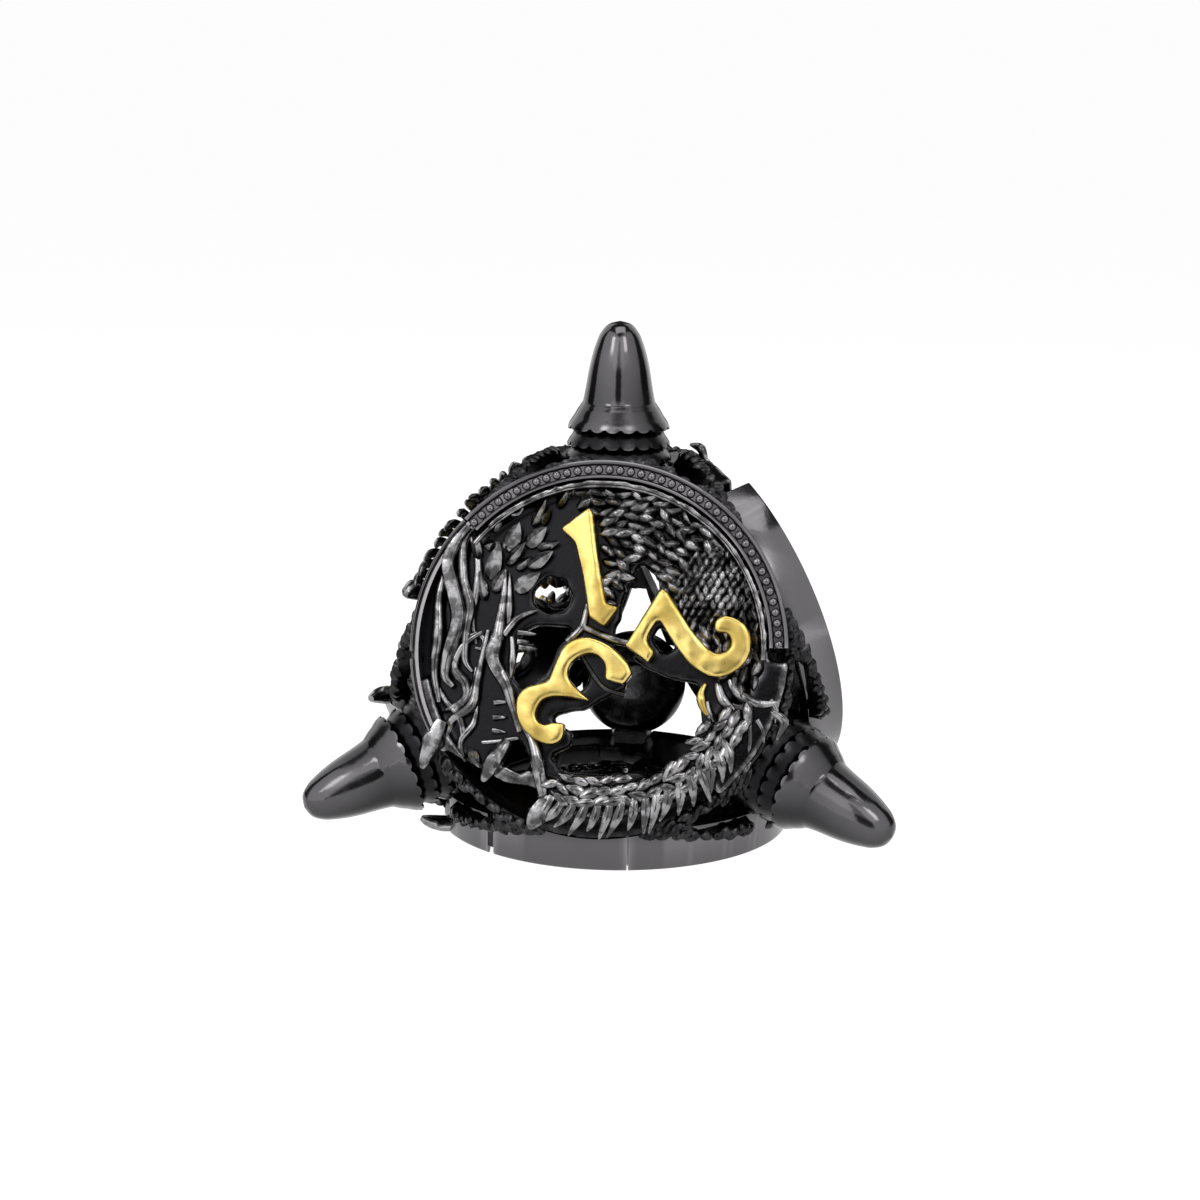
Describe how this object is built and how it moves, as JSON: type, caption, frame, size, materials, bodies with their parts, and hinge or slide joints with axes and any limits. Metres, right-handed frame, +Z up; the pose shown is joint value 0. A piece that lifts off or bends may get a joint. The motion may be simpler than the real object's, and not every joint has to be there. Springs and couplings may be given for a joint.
{
  "type": "polyhedral die",
  "caption": "Hollow metal tetrahedral gaming die with round pierced dragon medallions, raised gilt numerals and a rounded horn at every corner.",
  "frame": {"origin": "middle of the bounding box's bottom, on the plane that the base medallion rests on", "axes": "+Z up through the top horn's axis direction, -Y towards the front medallion, +X to the right seen from the front"},
  "size_m": [0.03, 0.0281, 0.0264],
  "materials": {
    "gunmetal": "polished black-nickel plate on zinc alloy",
    "gunmetal_antiqued": "black-nickel plate on zinc alloy, black in the recesses",
    "gilt": "glossy gold enamel, darker in the hollows"
  },
  "bodies": {
    "root": {"rim_front": "gunmetal", "rim_left": "gunmetal", "rim_right": "gunmetal", "rim_base": "gunmetal", "dragon_front": "gunmetal_antiqued", "dragon_left": "gunmetal_antiqued", "dragon_right": "gunmetal_antiqued", "dragon_base": "gunmetal_antiqued", "collar_top": "gunmetal_antiqued", "collar_left": "gunmetal_antiqued", "collar_right": "gunmetal_antiqued", "collar_back": "gunmetal_antiqued", "horn_top": "gunmetal", "horn_left": "gunmetal", "horn_right": "gunmetal", "horn_back": "gunmetal", "numeral_1_front": "gilt", "numeral_2_front": "gilt", "numeral_3_front": "gilt", "numeral_1_left": "gilt", "numeral_3_left": "gilt", "numeral_4_left": "gilt", "numeral_1_right": "gilt", "numeral_2_right": "gilt", "numeral_4_right": "gilt", "numeral_2_base": "gilt", "numeral_3_base": "gilt", "numeral_4_base": "gilt"}
  },
  "joints": []
}
